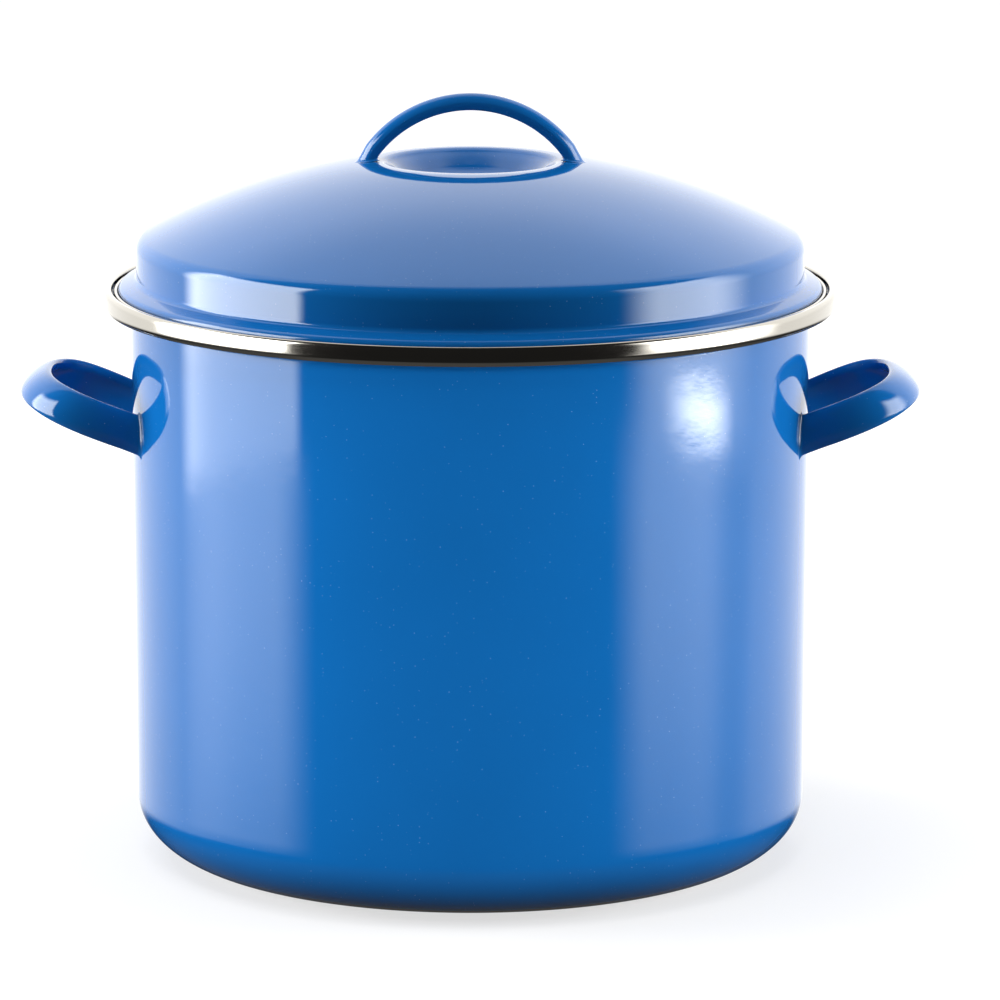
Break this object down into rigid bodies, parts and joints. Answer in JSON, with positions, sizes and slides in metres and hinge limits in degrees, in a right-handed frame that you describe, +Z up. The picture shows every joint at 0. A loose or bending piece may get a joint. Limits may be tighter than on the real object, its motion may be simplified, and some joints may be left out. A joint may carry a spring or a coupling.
{
  "type": "water bath canner",
  "caption": "Enamelled steel water bath canner: a tall round pot with a banded rim and side handles, a domed lid with a strap handle, and a lift-out wire jar rack with hinged bails.",
  "frame": {"origin": "centre of the pot's foot, on the surface it stands on", "axes": "+Z up through the middle of the lid's handle, X through the two side handles, -Y towards the viewer"},
  "size_m": [0.396, 0.322, 0.3399],
  "materials": {
    "enamel": "high-gloss vitreous enamel on steel, with fine pale flecks",
    "stainless": "polished stainless steel",
    "rack_wire": "bright plated wire"
  },
  "bodies": {
    "pot": {"pot_shell": "enamel", "pot_rim_band": "stainless", "side_handle_left": "enamel", "side_handle_right": "enamel"},
    "rack": {"rack_top_ring": "rack_wire", "rack_base_ring": "rack_wire", "rack_centre_top_ring": "rack_wire", "rack_centre_base_ring": "rack_wire", "rack_rib_1": "rack_wire", "rack_rib_2": "rack_wire", "rack_rib_3": "rack_wire", "rack_rib_4": "rack_wire", "rack_rib_5": "rack_wire", "rack_rib_6": "rack_wire", "rack_divider_1": "rack_wire", "rack_divider_2": "rack_wire", "rack_divider_3": "rack_wire", "rack_divider_4": "rack_wire", "rack_divider_5": "rack_wire", "rack_divider_6": "rack_wire"},
    "lid": {"lid_shell": "enamel", "lid_rim_band": "stainless", "lid_handle": "enamel"},
    "bail_left": {"rack_bail_left": "rack_wire"},
    "bail_right": {"rack_bail_right": "rack_wire"}
  },
  "joints": [
    {"name": "rack_lift", "type": "slide", "parent": "pot", "child": "rack", "axis": [0, 0, 1], "range_m": [0, 0.27]},
    {"name": "lid_lift", "type": "slide", "parent": "rack", "child": "lid", "axis": [0, 0, 1], "range_m": [0, 0.15]},
    {"name": "bail_left_hinge", "type": "hinge", "parent": "rack", "child": "bail_left", "pos_m": [-0.1285, 0, 0.086], "axis": [0, -1, 0], "range_deg": [0, 75]},
    {"name": "bail_right_hinge", "type": "hinge", "parent": "rack", "child": "bail_right", "pos_m": [0.1285, 0, 0.086], "axis": [0, 1, 0], "range_deg": [0, 75]}
  ]
}
